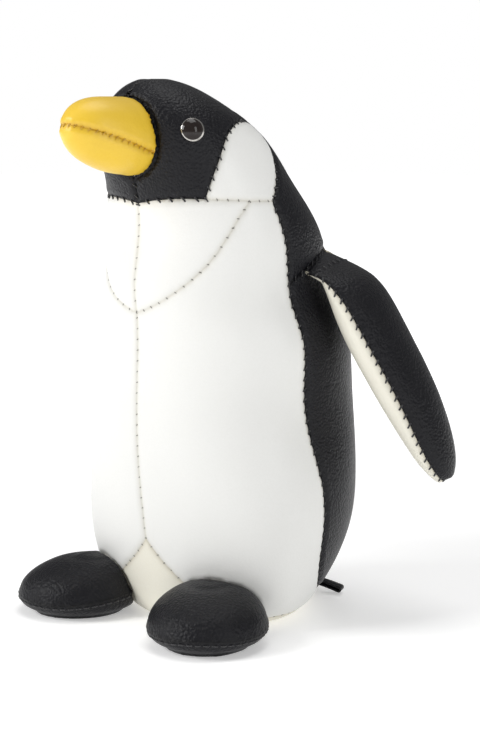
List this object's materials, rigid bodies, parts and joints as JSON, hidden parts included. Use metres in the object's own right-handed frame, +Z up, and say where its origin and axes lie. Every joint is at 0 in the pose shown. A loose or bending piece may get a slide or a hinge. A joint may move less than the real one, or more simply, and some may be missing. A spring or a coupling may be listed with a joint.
{
  "type": "plush penguin",
  "caption": "Standing penguin sewn from black, white and yellow leather cloth, stuffed and weighted at the base; wings hinge at the shoulder seams and spring back.",
  "frame": {"origin": "Middle of the flat underside, on the surface that the penguin stands on", "axes": "+Z up; the beak points along -Y; the left wing is at +X"},
  "size_m": [0.2022, 0.1565, 0.24],
  "materials": {
    "white_leather": "satin pebble-grained leather cloth",
    "black_leather": "satin pebble-grained leather cloth",
    "yellow_leather": "satin leather cloth",
    "eye_metal": "polished gunmetal",
    "fibre_fill": "soft polyester fibre",
    "bag_cloth": "woven cotton",
    "iron_sand": "fine grains",
    "board": "grey board"
  },
  "bodies": {
    "body": {"chest_bib_left": "white_leather", "belly_panel_left": "white_leather", "cheek_panel_left": "white_leather", "back_panel_left": "black_leather", "nape_panel_left": "black_leather", "face_panel_left": "black_leather", "foot_upper_left": "black_leather", "foot_sole_left": "black_leather", "foot_stuffing_left": "fibre_fill", "eye_cap_left": "eye_metal", "eye_back_left": "eye_metal", "chest_bib_right": "white_leather", "belly_panel_right": "white_leather", "cheek_panel_right": "white_leather", "back_panel_right": "black_leather", "nape_panel_right": "black_leather", "face_panel_right": "black_leather", "foot_upper_right": "black_leather", "foot_sole_right": "black_leather", "foot_stuffing_right": "fibre_fill", "eye_cap_right": "eye_metal", "eye_back_right": "eye_metal", "base_panel": "white_leather", "beak_upper": "yellow_leather", "beak_lower": "yellow_leather", "beak_stuffing": "fibre_fill", "body_stuffing": "fibre_fill", "head_stuffing": "fibre_fill", "weight_bag": "bag_cloth", "iron_sand_fill": "iron_sand", "base_board": "board"},
    "wing_left": {"wing_outer_left": "black_leather", "wing_inner_left": "white_leather", "wing_stuffing_left": "fibre_fill"},
    "wing_right": {"wing_outer_right": "black_leather", "wing_inner_right": "white_leather", "wing_stuffing_right": "fibre_fill"},
    "tail": {"tail_tab": "black_leather"}
  },
  "joints": [
    {"name": "wing_left_flap", "type": "hinge", "parent": "body", "child": "wing_left", "pos_m": [0.0502, 0.0192, 0.1594], "axis": [0.4301, -0.7802, -0.4541], "range_deg": [-6, 55], "stiffness_Nm_per_rad": 0.25},
    {"name": "wing_right_flap", "type": "hinge", "parent": "body", "child": "wing_right", "pos_m": [-0.0502, 0.0192, 0.1594], "axis": [0.4301, 0.7802, 0.4541], "range_deg": [-6, 55], "stiffness_Nm_per_rad": 0.25},
    {"name": "tail_flex", "type": "hinge", "parent": "body", "child": "tail", "pos_m": [0.0179, 0.048, 0.0062], "axis": [0.4695, -0.8829, 0], "range_deg": [-4, 30], "stiffness_Nm_per_rad": 0.002}
  ]
}
